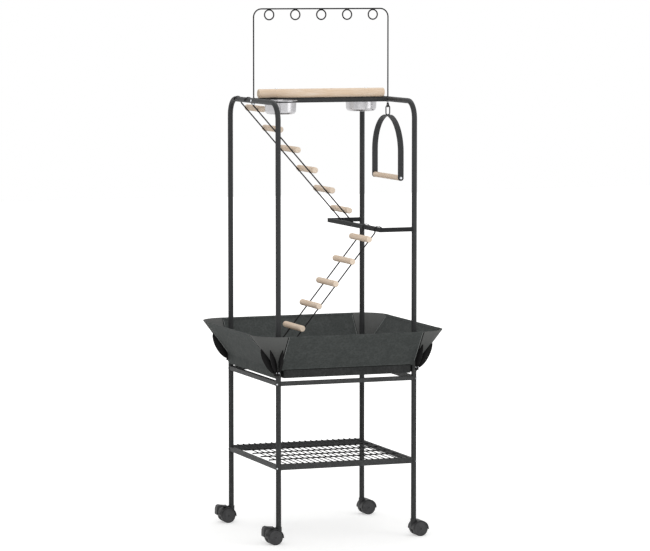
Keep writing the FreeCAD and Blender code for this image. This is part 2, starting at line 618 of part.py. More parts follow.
# Swing: two arcs that meet in a point, straight arms, and a welded oval link.
def swing():
    half, bow = size("swing_half"), size("swing_bow")
    thick, crown = size("strap_thick"), size("swing_crown")
    side_step = bow - half
    spring = crown - math.sqrt(bow ** 2 - side_step ** 2)
    tail = size("dowel_level - strap_tail")
    inner_bow = bow - thick
    inner_crown = spring + math.sqrt(inner_bow ** 2 - side_step ** 2)

    def arch_edges(radius, peak):
        reach = radius - side_step
        edges = []
        for sign in (-1, 1):
            middle = Vector(-sign * side_step, spring, 0)
            angle = math.atan2(peak - spring, side_step)
            turn_at = Vector(middle.x + sign * radius * math.cos(angle / 2),
                             spring + radius * math.sin(angle / 2), 0)
            edges.append(Part.Arc(Vector(sign * reach, spring, 0), turn_at, Vector(0, peak, 0)))
        return edges

    body = new_body("swing_body")
    sketch = new_sketch(body, "swing_outline", "YZ_Plane", "0 - strap_width / 2")
    reach_in = half - thick
    for arc in arch_edges(bow, crown) + arch_edges(inner_bow, inner_crown):
        sketch.addGeometry(arc, False)
    for sign in (-1, 1):
        corners = [Vector(sign * half, spring, 0), Vector(sign * half, tail, 0),
                   Vector(sign * reach_in, tail, 0), Vector(sign * reach_in, spring, 0)]
        for start, end in zip(corners, corners[1:]):
            sketch.addGeometry(Part.LineSegment(start, end), False)
    strap = pad(body, sketch, "strap_width")
    rounded(body, strap, "strap_width / 2 - 1",
            lambda edge: edge.BoundBox.ZMax < tail + 0.01 and edge.BoundBox.YLength > 1
            and edge.BoundBox.XLength < 0.01)
    # The strap narrows to a neck where the link is welded on.
    waist = [rod("swing_waist", "strap_width", "60", signed(end, "strap_width * 1.15"), "0",
                 "swing_crown - 50") for end in (-1, 1)]
    holes = [rod("swing_screw_hole", "2.1", "12", "0",
                 signed(end, "swing_half") + " - 6", "dowel_level", ALONG_Y) for end in (-1, 1)]
    drilled = cut("swing_drilled", body, waist + holes)
    link = new_body("link_body")
    route = new_sketch(link, "link_route", "XZ_Plane")
    across = size("link_half")
    high = size("eye_level - eye_radius + link_wire + link_play") - across
    low = crown - thick / 2 + across
    for level, start in ((high, 0), (low, math.pi)):
        bend = Part.Circle(Vector(0, level, 0), Vector(0, 0, 1), across)
        route.addGeometry(Part.ArcOfCircle(bend, start, start + math.pi), False)
    for sign in (-1, 1):
        route.addGeometry(Part.LineSegment(Vector(sign * across, low, 0),
                                           Vector(sign * across, high, 0)), False)
    section = new_sketch(link, "link_section", "XY_Plane", "swing_crown + 15")
    circle(section, "link_wire / 2", "link_half", "0")
    pipe(link, section, route)
    whole = join("swing_whole", [drilled, link])
    place(whole, "leg_span / 2")
    keep(whole, "swing_strap")
    dowel = new_body("dowel_body")
    ring = new_sketch(dowel, "dowel_section", "XZ_Plane", "0 - ( swing_half - strap_thick )")
    circle(ring, "dowel_dia / 2", "0", "0")
    wood = pad(dowel, ring, "2 * ( swing_half - strap_thick )")
    rounded(dowel, wood, "1.5", lambda edge: edge.Curve.TypeId == "Part::GeomCircle")
    place(dowel, "leg_span / 2", "0", "dowel_level")
    keep(dowel, "swing_dowel")


def middle_frame():
    shells = []
    leg = "leg_span / 2"
    for part, wall in (("outer", "0"), ("inner", "bar_wall")):
        body = new_body(f"middle_{part}")
        sketch = new_sketch(body, f"middle_{part}_outline", "XY_Plane",
                            f"middle_level + {wall}")
        side = f"bar_side / 2 - {wall}"
        far, near = f"{leg} - middle_reach - ( {side} )", f"{leg} - middle_reach + {side}"
        wide, narrow = f"{leg} + {side}", f"{leg} - ( {side} )"
        outline(sketch, [(leg, f"0 - ( {wide} )"), (far, f"0 - ( {wide} )"), (far, wide),
                         (leg, wide), (leg, narrow), (near, narrow),
                         (near, f"0 - ( {narrow} )"), (leg, f"0 - ( {narrow} )")])
        pad(body, sketch, f"bar_side - 2 * {wall}")
        shells.append(body)
    copes = [rod("middle_cope", "tube_dia / 2 + cope_gap", "40", leg, signed(end, leg),
                 "middle_level - 10") for end in (-1, 1)]
    keep(cut("middle_cut", shells[0], [shells[1]] + copes), "middle_frame")


# Ladders: the wires hook over a bar, swing back behind it and run straight down.
# The hooks are pressed flat where they lie on the bar.
# Local x runs down the ladder, local z out on the climbing side.
def ladder(name, placement):
    hook, crook = size("ladder_hook"), size("ladder_crook")
    run, end = size("ladder_run"), size("ladder_length")
    back_z = run + crook
    back_x = math.sqrt((hook + crook) ** 2 - back_z ** 2)
    lead = math.atan2(back_z, back_x)
    body = new_body(f"{name}_wire")
    route = new_sketch(body, f"{name}_route", "XZ_Plane")
    tip = math.radians(240)
    over = Part.Circle(Vector(), Vector(0, 0, 1), hook)
    route.addGeometry(Part.ArcOfCircle(over, lead, tip), False)
    behind = Part.Circle(Vector(back_x, back_z, 0), Vector(0, 0, 1), crook)
    route.addGeometry(Part.ArcOfCircle(behind, lead + math.pi, 1.5 * math.pi), False)
    route.addGeometry(Part.LineSegment(Vector(back_x, run, 0), Vector(end, run, 0)), False)
    section = new_sketch(body, f"{name}_section", "YZ_Plane", "ladder_length")
    circle(section, "ladder_wire / 2", "0", "ladder_run")
    pipe(body, section, route)
    sector = rod(f"{name}_press_outer", "ladder_hook + ladder_wire", "2 * ladder_wire", "0",
                 "0 - ladder_wire", "0", Rotation(Vector(0, 1, 0), -200).multiply(ALONG_Y))
    sector.Angle = 120
    kept = rod(f"{name}_press_inner", "ladder_hook - ladder_wire / 2 + hook_flat",
               "3 * ladder_wire", "0", "0 - 1.5 * ladder_wire", "0", ALONG_Y)
    pressed = cut(f"{name}_pressed", body, [cut(f"{name}_press", sector, [kept])])
    doc.recompute()
    wires = []
    for sign in (-1, 1):
        wire = doc.addObject("Part::Feature", f"{name}_rail")
        wire.Shape = pressed.Shape
        wire.Placement = Placement(Vector(0, sign * size("ladder_half"), 0), Rotation())
        wires.append(wire)
    rails = doc.addObject("Part::Compound", f"{name}_rails")
    rails.Links = wires
    rails.Placement = placement
    keep(rails, f"{name}_wires")
    lift = "ladder_run + ladder_wire / 2 + rung_dia / 2 - rung_notch"
    dowels = [rod(f"{name}_rung", "rung_dia / 2", "rung_length",
                  f"rung_first + rung_pitch * {i}", "0 - rung_length / 2", lift, ALONG_Y)
              for i in range(6)]
    rungs = doc.addObject("Part::Compound", f"{name}_dowels")
    rungs.Links = dowels
    doc.recompute()
    smooth = doc.addObject("Part::Fillet", f"{name}_smooth")
    smooth.Base = rungs
    smooth.Edges = [(i, size("rung_round"), size("rung_round"))
                    for i, edge in enumerate(rungs.Shape.Edges, start=1)
                    if edge.Curve.TypeId == "Part::GeomCircle"]
    grooves = [rod(f"{name}_groove", "ladder_wire / 2 + cope_gap", "ladder_length", "0",
                   signed(sign, "ladder_half"), "ladder_run", ALONG_X) for sign in (-1, 1)]
    notched = cut(f"{name}_notched", smooth, grooves)
    notched.Placement = placement
    keep(notched, f"{name}_rungs")


# Casters: local frame with the swivel axis at x = 0 and the wheels trailing to -x.
def caster(corner, x_sign, y_sign):
    name = f"caster_{corner}"
    turn = Rotation(Vector(0, 0, 1), 0 if x_sign < 0 else 180)
    spot = Placement(Vector(x_sign * size("leg_span / 2"), y_sign * size("leg_span / 2"), 0),
                     turn)
    axle_x, axle_z = "0 - caster_trail", "wheel_dia / 2"
    hood_in = "wheel_dia / 2 + hood_gap"
    hood_out = f"{hood_in} + hood_wall"

    def across(part, radius, half, x=axle_x, z=axle_z):
        return rod(f"{name}_{part}", radius, f"2 * ( {half} )", x, f"0 - ( {half} )", z, ALONG_Y)

    shell = join(f"{name}_shell", [
        across("hood", hood_out, "hood_half"),
        rod(f"{name}_boss", "tube_dia / 2 + 2", "caster_top - wheel_dia / 2", "0", "0",
            "wheel_dia / 2")])
    wells = []
    for sign in (-1, 1):
        y = "web_half" if sign > 0 else "0 - web_half - 30"
        wells.append(rod(f"{name}_well", hood_in, "30", axle_x, y, axle_z, ALONG_Y))
    below = box(f"{name}_below", "90", "90", "wheel_dia / 2 + 8", "0 - 60", "0 - 45", "0 - 10")
    hollow = cut(f"{name}_hollow", shell, wells + [below])
    pieces = [hollow, across("web", "wheel_dia / 2 - 4", "web_half"),
              across("axle", "axle_dia / 2", "wheel_outer - 0.4"),
              rod(f"{name}_stem", "stem_dia / 2", "stem_length + 10", "0", "0",
                  "caster_top - 10")]
    braked = x_sign < 0
    lever_x = "0 - caster_trail - 1"
    lever_z = "wheel_dia + hood_gap + hood_wall + lever_rise"
    if braked:
        pieces.append(across("lever_pin", "lever_pin / 2", "lever_half + 3", lever_x, lever_z))
        for sign in (-1, 1):
            y = "lever_half + 0.4" if sign > 0 else "0 - lever_half - 3"
            pieces.append(box(f"{name}_lug", "6", "2.6", "7", f"{lever_x} - 3", y,
                              f"{lever_z} - 4.5"))
    housing = join(f"{name}_housing", pieces)
    housing.Placement = spot
    keep(housing, f"{name}_housing")
    for side, sign in (("near", -1), ("far", 1)):
        keep(wheel(name, side, sign, spot), f"{name}_wheel_{side}")
    if braked:
        keep(brake_lever(name, lever_x, lever_z, spot), f"{name}_brake_lever")


def wheel(name, side, sign, spot):
    radius, inner, outer = "wheel_dia / 2", "wheel_inner", "wheel_outer"
    points = [("axle_dia / 2 + pin_play", inner), (f"{radius} - 1.5", inner),
              (radius, f"{inner} + 1.5"), (radius, f"{outer} - 2.5"),
              (f"{radius} - 1", f"{outer} - 0.8"), (f"{radius} - 3", outer),
              (f"{radius} - 5.5", outer), (f"{radius} - 6.5", f"{outer} - 1"),
              ("axle_dia", f"{outer} - 1"), ("axle_dia - 1", outer),
              ("axle_dia / 2 + pin_play", outer)]
    turn = Rotation(Vector(1, 0, 0), -90 * sign)
    piece = turned(f"{name}_{side}", points, turn)
    local = Placement(Vector(-size("caster_trail"), 0, size("wheel_dia / 2")), turn)
    piece.Placement = spot.multiply(local)
    return piece


def brake_lever(name, lever_x, lever_z, spot):
    """A pedal that reaches back over the hood and hangs down behind it."""
    body = new_body(f"{name}_pedal")
    side = new_sketch(body, f"{name}_pedal_side", "XZ_Plane", "0 - lever_half")
    outline(side, [
        (lever_x, f"{lever_z} + 2.4"),
        (f"{lever_x} - 0.47 * lever_reach", f"{lever_z} + 4.4"),
        (f"{lever_x} - 0.72 * lever_reach", f"{lever_z} + lever_crest"),
        (f"{lever_x} - 0.9 * lever_reach", f"{lever_z} + 3.5"),
        (f"{lever_x} - 0.985 * lever_reach", f"{lever_z} - 5"),
        (f"{lever_x} - lever_reach", f"{lever_z} - lever_drop + 3"),
        (f"{lever_x} - lever_reach + 1.5", f"{lever_z} - lever_drop"),
        (f"{lever_x} - lever_reach + lever_thick", f"{lever_z} - lever_drop + 1"),
        (f"{lever_x} - lever_reach + lever_thick + 1.2", f"{lever_z} - 12"),
        (f"{lever_x} - 0.72 * lever_reach", f"{lever_z} - 4"),
        (f"{lever_x} - 0.47 * lever_reach", f"{lever_z} - 1.2"),
        (lever_x, f"{lever_z} - 2.2")])
    plate = pad(body, side, "2 * lever_half")
    rounded(body, plate, "1.2",
            lambda edge: edge.BoundBox.YLength > 1 and edge.BoundBox.XMax < size(lever_x) - 1)
    knuckle = rod(f"{name}_knuckle", "lever_pin - 0.4", "2 * lever_half", lever_x,
                  "0 - lever_half", lever_z, ALONG_Y)
    bore = rod(f"{name}_lever_bore", "lever_pin / 2 + pin_play", "2 * lever_half + 4", lever_x,
               "0 - lever_half - 2", lever_z, ALONG_Y)
    lever = cut(f"{name}_lever", join(f"{name}_lever_solid", [body, knuckle]), [bore])
    lever.Placement = spot
    return lever


def upper_ladder_place():
    """The hook seated on the left frame top, the wire lying on the middle frame's bar."""
    across = size("leg_span - middle_reach + bar_side / 2")
    hook_level = size("frame_top - ( ladder_hook - ladder_wire / 2 - tube_dia / 2 ) + 0.3")
    drop = hook_level - size("middle_level + bar_side")
    clear = size("ladder_wire / 2 + 0.2 - ladder_run")
    reach = math.hypot(across, drop)
    slope = math.degrees(math.atan2(drop, across) - math.asin(clear / reach))
    return Placement(Vector(-size("leg_span / 2"), size("upper_ladder_y"), hook_level),
                     Rotation(Vector(0, 1, 0), slope))


def lower_ladder_place():
    """The hook's centre on the middle frame's bar, the wire ends on the left top rail."""
    hook_level = size("middle_level + bar_side / 2")
    rest_level = size("top_rail_level + bar_side + 0.64 * ladder_wire / 2 + 0.2")
    length, run = size("ladder_length"), size("ladder_run")
    reach = math.hypot(length, run)
    slope = math.degrees(math.asin((hook_level - rest_level) / reach) + math.atan2(run, length))
    turn = Rotation(Vector(0, 1, 0), -slope).multiply(Rotation(Vector(0, 0, 1), 180))
    return Placement(Vector(size("leg_span / 2 - middle_reach"), size("lower_ladder_y"),
                            hook_level), turn)


for corner, x_sign, y_sign in CORNERS:
    lower_leg(corner, x_sign, y_sign)
    caster(corner, x_sign, y_sign)
for depth, sign in DEPTHS:
    rail(f"{depth}_shelf_rail", True, sign, "bar_side", "shelf_rail_tall", "shelf_level")
    rail(f"{depth}_tray_rail", True, sign, "bar_side", "bar_side", "tray_rail_level")
    rail(f"{depth}_top_rail", True, sign, "bar_side", "bar_side", "top_rail_level",
         "tube_dia / 2 - bar_side / 2")
for side, sign in SIDES:
    rail(f"{side}_shelf_rail", False, sign, "bar_side", "bar_side", "shelf_level")
    rail(f"{side}_tray_rail", False, sign, "bar_side", "bar_side", "tray_rail_level")
    rail(f"{side}_top_rail", False, sign, "bar_side", "bar_side", "top_rail_level",
         "tube_dia / 2 - bar_side / 2")
grate("shelf_grate", "( shelf_level + shelf_rail_tall )")
for label, turn, open_below in (("right_skirt", 0, False), ("back_skirt", 90, False),
                                ("left_skirt", 180, False), ("front_skirt", 270, True)):
    skirt(label, turn, open_below)
TURNS = {"back_right": 0, "back_left": 90, "front_left": 180, "front_right": 270}
for corner, x_sign, y_sign in CORNERS:
    corner_guard(corner, x_sign, y_sign, TURNS[corner])
    leaf_ribs(corner, x_sign, y_sign, TURNS[corner])
pan()
for side, sign in SIDES:
    upper_frame(side, sign)
    bowl_holder(side, sign)
    bowl(side, sign)
cross_bar()
perch()
toy_hanger()
middle_frame()
swing()
ladder("upper_ladder", upper_ladder_place())
ladder("lower_ladder", lower_ladder_place())
doc.recompute()

for thing in doc.Objects:
    if any(word in state for state in thing.State for word in ("Invalid", "Error")):
        raise RuntimeError(f"{thing.Label} did not compute: {thing.State}")
os.makedirs("parts", exist_ok=True)
for node in nodes:
    if node.Shape.isNull() or not node.Shape.isValid() or not node.Shape.Solids:
        raise RuntimeError(f"{node.Label} has no valid solid")
    node.Shape.exportStep(f"parts/{node.Label}.step")
print(f"{len(nodes)} nodes written")
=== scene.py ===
# %% [markdown]
# # Parrot play stand
#
# This is a lesson in dressing an engineering model.  The tubes, sheets, wheels,
# ladders and bowls come from the CAD frame at their real size, and nothing here
# moves or resizes them.  Each step adds one finish or one family of small
# fittings, and says what the real one is and why it is made this way.

# %% Load the frame
import math
import bmesh
import bpy
from mathutils import Matrix, Vector


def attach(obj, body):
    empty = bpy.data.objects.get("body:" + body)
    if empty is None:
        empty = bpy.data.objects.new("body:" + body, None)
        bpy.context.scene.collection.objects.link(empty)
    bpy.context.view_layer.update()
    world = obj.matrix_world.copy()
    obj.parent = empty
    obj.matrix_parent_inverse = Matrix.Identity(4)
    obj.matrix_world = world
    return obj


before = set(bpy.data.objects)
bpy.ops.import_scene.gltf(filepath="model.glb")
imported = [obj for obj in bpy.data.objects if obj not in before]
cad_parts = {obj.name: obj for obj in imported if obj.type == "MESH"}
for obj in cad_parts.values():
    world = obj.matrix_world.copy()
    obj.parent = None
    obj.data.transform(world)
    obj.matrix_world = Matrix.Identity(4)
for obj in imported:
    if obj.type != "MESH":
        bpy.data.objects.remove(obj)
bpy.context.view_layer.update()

# %% [markdown]
# ## Camera
#
# The photograph was taken from far away with a long lens, a little above the
# stand's middle and from its left.  A camera that far off keeps uprights
# parallel.  Its place is worked out from an aim point, a distance and two
# angles, which is easier to adjust than three coordinates.

# %% Camera
AIM = Vector((0.0134, 0.0, 0.8612))
CAMERA_DISTANCE = 11.272
CAMERA_AZIMUTH = math.radians(20.524)
CAMERA_PITCH = math.radians(5.18)
LENS_MM = 185.25
look = Vector((math.sin(CAMERA_AZIMUTH) * math.cos(CAMERA_PITCH),
               math.cos(CAMERA_AZIMUTH) * math.cos(CAMERA_PITCH),
               -math.sin(CAMERA_PITCH)))
scene = bpy.context.scene
camera = bpy.data.objects.new("camera", bpy.data.cameras.new("camera"))
camera.data.lens = LENS_MM
camera.data.sensor_width = 36.0
camera.data.clip_end = 60.0
camera.location = AIM - look * CAMERA_DISTANCE
camera.rotation_euler = look.to_track_quat("-Z", "Y").to_euler()
scene.collection.objects.link(camera)
scene.camera = camera
scene.view_settings.view_transform = "Standard"
print("camera at", [round(v, 3) for v in camera.location])

# %% [markdown]
# ## Colours and nodes
#
# Finishes are written as sRGB hex values, the way a paint chart gives them, and
# one function turns them to the linear numbers that a renderer adds up.  One
# small function adds a node with its settings and links, so a material below
# reads from top to bottom like a recipe.

# %% Colour and node helpers
MM = 0.001


def paint(code):
    """sRGB hex to linear RGBA."""
    parts = [int(code[i:i + 2], 16) / 255 for i in (1, 3, 5)]
    return tuple(v / 12.92 if v <= 0.04045 else ((v + 0.055) / 1.055) ** 2.4
                 for v in parts) + (1.0,)


def add(tree, kind, inputs=None, **settings):
    """Adds a node.  An input is a value, or another node's output to link."""
    made = tree.nodes.new(kind)
    for name, value in settings.items():
        setattr(made, name, value)
    for key, value in (inputs or {}).items():
        if isinstance(value, bpy.types.NodeSocket):
            tree.links.new(value, made.inputs[key])
        else:
            made.inputs[key].default_value = value
    return made


def finish_named(name, **sockets):
    """A new material with one Principled shader, and that shader's sockets set."""
    material = bpy.data.materials.new(name)
    material.use_nodes = True
    tree = material.node_tree
    tree.nodes.clear()
    shader = add(tree, "ShaderNodeBsdfPrincipled",
                 {key.replace("_", " "): value for key, value in sockets.items()})
    add(tree, "ShaderNodeOutputMaterial", {"Surface": shader.outputs["BSDF"]})
    return material, tree, shader


def ramp(tree, factor, stops):
    """A colour ramp through (position, colour) stops."""
    made = add(tree, "ShaderNodeValToRGB", {"Fac": factor})
    elements = made.color_ramp.elements
    while len(elements) < len(stops):
        elements.new(0.5)
    for element, (position, colour) in zip(elements, stops):
        element.position = position
        element.color = colour
    return made.outputs["Color"]


def connect(tree, shader, colour, roughness, height, strength, distance_mm):
    """Links a finish's colour, roughness and relief to its shader."""
    relief = add(tree, "ShaderNodeBump", {"Strength": strength, "Distance": distance_mm * MM,
                                          "Height": height})
    tree.links.new(colour, shader.inputs["Base Color"])
    tree.links.new(roughness, shader.inputs["Roughness"])
    tree.links.new(relief.outputs["Normal"], shader.inputs["Normal"])


print("charcoal as linear:", [round(v, 4) for v in paint("#404244")])

# %% [markdown]
# ## Room and light
#
# The photograph is a cut-out on white: soft light from everywhere, a broad key
# from the front, and no backdrop to see.  The room gives grey light to
# surfaces, and shows white only to the camera and to reflections.  The floor is
# a pale matt sheet that keeps the soft shadow under the casters, and it glows a
# little more the farther it is from the stand, so no horizon shows.

# %% World
world = bpy.data.worlds.new("studio")
world.use_nodes = True
scene.world = world
sky = world.node_tree
sky.nodes.clear()
ROOM_LIGHT = 0.66
ray = add(sky, "ShaderNodeLightPath")
seen = add(sky, "ShaderNodeMath", {0: ray.outputs["Is Camera Ray"],
                                   1: ray.outputs["Is Transmission Ray"]},
           operation="MAXIMUM")
seen = add(sky, "ShaderNodeMath", {0: seen.outputs[0], 1: ray.outputs["Is Glossy Ray"]},
           operation="MAXIMUM")
strength = add(sky, "ShaderNodeMapRange", {"Value": seen.outputs[0],
                                           "To Min": ROOM_LIGHT, "To Max": 1.0})
room = add(sky, "ShaderNodeBackground", {"Color": paint("#ffffff"),
                                         "Strength": strength.outputs["Result"]})
add(sky, "ShaderNodeOutputWorld", {"Surface": room.outputs["Background"]})

# %% Lamps


def softbox(name, place, aim, width, height, watts):
    """A rectangular area lamp that looks at a point."""
    lamp = bpy.data.lights.new(name, "AREA")
    lamp.shape = "RECTANGLE"
    lamp.size = width
    lamp.size_y = height
    lamp.energy = watts
    holder = bpy.data.objects.new(name, lamp)
    holder.location = place
    holder.rotation_euler = (Vector(aim) - Vector(place)).to_track_quat("-Z", "Y").to_euler()
    scene.collection.objects.link(holder)
    return holder


softbox("key", (-1.6, -4.2, 3.2), (0, 0, 0.8), 2.4, 2.4, 62)
softbox("fill", (3.4, -3.2, 1.6), (0, 0, 0.9), 2.0, 2.4, 26)
softbox("top", (0.4, 1.2, 4.2), (0, 0, 0.9), 2.4, 2.0, 22)

# %% Floor
FLOOR_HALF = 16.0
floor_mesh = bpy.data.meshes.new("floor")
floor_mesh.from_pydata([(-FLOOR_HALF, -FLOOR_HALF, 0), (FLOOR_HALF, -FLOOR_HALF, 0),
                        (FLOOR_HALF, FLOOR_HALF, 0), (-FLOOR_HALF, FLOOR_HALF, 0)],
                       [], [(0, 1, 2, 3)])
floor = bpy.data.objects.new("floor", floor_mesh)
scene.collection.objects.link(floor)
floor_paint, floor_tree, floor_shader = finish_named(
    "pale_studio_floor", Base_Color=paint("#e9e9e8"), Roughness=0.9,
    Emission_Color=paint("#ffffff"))
floor_ray = add(floor_tree, "ShaderNodeLightPath")
floor_seen = add(floor_tree, "ShaderNodeMath",
                 {0: floor_ray.outputs["Is Camera Ray"], 1: floor_ray.outputs["Is Glossy Ray"]},
                 operation="MAXIMUM")
floor_where = add(floor_tree, "ShaderNodeTexCoord")
floor_away = add(floor_tree, "ShaderNodeVectorMath", {0: floor_where.outputs["Object"]},
                 operation="LENGTH")
floor_glow = add(floor_tree, "ShaderNodeMapRange",
                 {"Value": floor_away.outputs["Value"], "From Min": 0.5, "From Max": 2.4,
                  "To Min": 0.42, "To Max": 0.75})
floor_glow = add(floor_tree, "ShaderNodeMath",
                 {0: floor_seen.outputs[0], 1: floor_glow.outputs["Result"]},
                 operation="MULTIPLY")
floor_tree.links.new(floor_glow.outputs[0], floor_shader.inputs["Emission Strength"])
floor_mesh.materials.append(floor_paint)

# %% [markdown]
# ## Powder coat
#
# The steel is powder coated: dry paint dust is baked on until it flows into a
# skin.  The lower stand and the tray have the hammered kind, whose skin gathers
# into small flat cells with darker dips between them.  The upper frame has the
# plain satin kind, with only a faint orange peel.  A paint like this is not a
# metal to the eye, so metallic stays 0.  Polyester's index of refraction is 1.5,
# and the matt powder here is brought down from it, since its grains scatter
# away most of the mirror-like part.  Rails, tray, corner sheets, pan and middle
# frame have the same paint, set a little lighter or darker for each to match the
# photograph.  The lighter rails and corner sheets are painted light, the darker
# pan and middle frame painted shade, and the corner sheets' colour is painted
# lighter towards the rim, a painted highlight for how the light falls there.

# %% Powder coat materials


def powder_coat(name, light, dark, cell_mm, dip_mm, roughness, ior=1.35, painted_light_at_rim=None):
    """Baked paint with hammered cells; the last argument, if given, is a painted highlight: the
    colour painted in towards the tray's rim.
    """
    material, tree, shader = finish_named(name, IOR=ior)
    where = add(tree, "ShaderNodeTexCoord").outputs["Object"]
    cells = add(tree, "ShaderNodeTexVoronoi",
                {"Vector": where, "Scale": 1 / (cell_mm * MM), "Randomness": 1.0},
                feature="SMOOTH_F1")
    peel = add(tree, "ShaderNodeTexNoise",
               {"Vector": where, "Scale": 1 / (0.45 * cell_mm * MM), "Detail": 3.0})
    height = add(tree, "ShaderNodeMix", {"Factor": 0.35, "A": cells.outputs["Distance"],
                                         "B": peel.outputs["Fac"]})
    shade = add(tree, "ShaderNodeTexNoise",
                {"Vector": where, "Scale": 1 / (5 * cell_mm * MM), "Detail": 4.0,
                 "Roughness": 0.65})
    mixed = add(tree, "ShaderNodeMath", {0: height.outputs["Result"], 1: shade.outputs["Fac"]},
                operation="MULTIPLY")
    colour = ramp(tree, mixed.outputs[0], [(0.12, paint(dark)), (0.42, paint(light))])
    # Painted highlight: the colour is blended towards a lighter one from 600 to 690 mm up, for
    # the light the rim catches.
    if painted_light_at_rim:
        level = add(tree, "ShaderNodeSeparateXYZ", {"Vector": where})
        climb = add(tree, "ShaderNodeMapRange", {"Value": level.outputs["Z"],
                                                 "From Min": 600 * MM, "From Max": 690 * MM})
        colour = add(tree, "ShaderNodeMix", {"Factor": climb.outputs["Result"], "A": colour,
                                             "B": paint(painted_light_at_rim)},
                     data_type="RGBA").outputs["Result"]
    sheen = add(tree, "ShaderNodeMapRange",
                {"Value": height.outputs["Result"], "To Min": roughness + 0.08,
                 "To Max": roughness - 0.06})
    connect(tree, shader, colour, sheen.outputs["Result"], height.outputs["Result"], 0.9, dip_mm)
    return material


hammered_coat = powder_coat("hammered_charcoal_powder_coat", "#3a3b3c", "#222323",
                            cell_mm=5.0, dip_mm=0.35, roughness=0.56)
# The rails' coat is the hammered coat painted lighter: painted light.
lit_rail_coat = powder_coat("hammered_charcoal_powder_coat_with_painted_light_on_rails", "#434445", "#2b2c2c",
                        cell_mm=5.0, dip_mm=0.35, roughness=0.56)
satin_coat = powder_coat("satin_charcoal_powder_coat", "#343536", "#2a2b2c",
                         cell_mm=2.0, dip_mm=0.05, roughness=0.54)
# The middle frame's coat is the satin coat painted darker: painted shade.
shaded_coat = powder_coat("satin_charcoal_powder_coat_on_middle_frame", "#28292a", "#202122",
                          cell_mm=2.0, dip_mm=0.05, roughness=0.62, ior=1.25)
wire_coat = powder_coat("satin_black_powder_coat_on_wire", "#1d1d1e", "#19191a",
                        cell_mm=1.6, dip_mm=0.03, roughness=0.62, ior=1.25)
tray_coat = powder_coat("hammered_grey_powder_coat_on_sheet", "#505352", "#404342",
                        cell_mm=6.5, dip_mm=0.30, roughness=0.72, ior=1.2)
# The corner sheets' coat is painted lighter than the tray's, and lighter again towards the rim:
# painted light.
lit_guard_coat = powder_coat("hammered_grey_powder_coat_with_painted_light_on_corners", "#555655", "#474847",
                         cell_mm=6.5, dip_mm=0.30, roughness=0.72, ior=1.2, painted_light_at_rim="#616261")
# The pan's coat is the tray's paint painted darker: painted shade, for the shade under the tray's
# flare.
shaded_pan_coat = powder_coat("hammered_powder_coat_with_painted_shade_on_pan", "#3a3b3b", "#2b2c2c",
                       cell_mm=6.5, dip_mm=0.30, roughness=0.70, ior=1.2)

# %% [markdown]
# ## Moulded plastic
#
# The ribs at the tray's corners, the caster housings and the wheels are
# injection moulded.  A mould gives a fine spark-eroded grain and an even
# colour, a little glossier on wheels, which are polished by rolling.  The
# ribs' near-black is partly their black plastic and partly painted shade, for
# the shade under the downward-facing ribs.

# %% Plastic materials


def moulded_plastic(name, light, dark, grain_mm, roughness, ior=1.4):
    """Moulded plastic with an eroded grain."""
    material, tree, shader = finish_named(name, IOR=ior)
    where = add(tree, "ShaderNodeTexCoord").outputs["Object"]
    grain = add(tree, "ShaderNodeTexNoise",
                {"Vector": where, "Scale": 1 / (grain_mm * MM), "Detail": 5.0,
                 "Roughness": 0.7})
    flow = add(tree, "ShaderNodeTexNoise", {"Vector": where, "Scale": 1 / (18 * MM),
                                            "Detail": 2.0, "Distortion": 0.6})
    colour = ramp(tree, flow.outputs["Fac"], [(0.3, paint(dark)), (0.7, paint(light))])
    sheen = add(tree, "ShaderNodeMapRange", {"Value": grain.outputs["Fac"],
                                             "To Min": roughness - 0.07,
                                             "To Max": roughness + 0.07})
    connect(tree, shader, colour, sheen.outputs["Result"], grain.outputs["Fac"], 0.5, 0.05)
    return material


# The ribs' near-black is partly black plastic and partly painted shade.
rib_plastic_with_painted_shade = moulded_plastic("black_polypropylene_with_painted_shade", "#0f0e0f", "#090909", 1.2, 0.68, ior=1.25)
housing_plastic = moulded_plastic("black_nylon", "#303031", "#222223", 1.0, 0.50)
wheel_plastic = moulded_plastic("grey_black_wheel_nylon", "#434344", "#363637", 1.4, 0.58)

# %% [markdown]
# ## Sanded softwood
#
# Perch, rungs and the swing's dowel are turned from pale pine and left raw.
# What shows is long grain: soft bands a few millimetres wide along the dowel,
# fine darker fibres inside them, and a dry surface.  A sawn end shows the same
# fibres end on, as a paler face with rings.  The pattern is stretched along the
# dowel, so each direction gets its own material.

# %% Wood materials


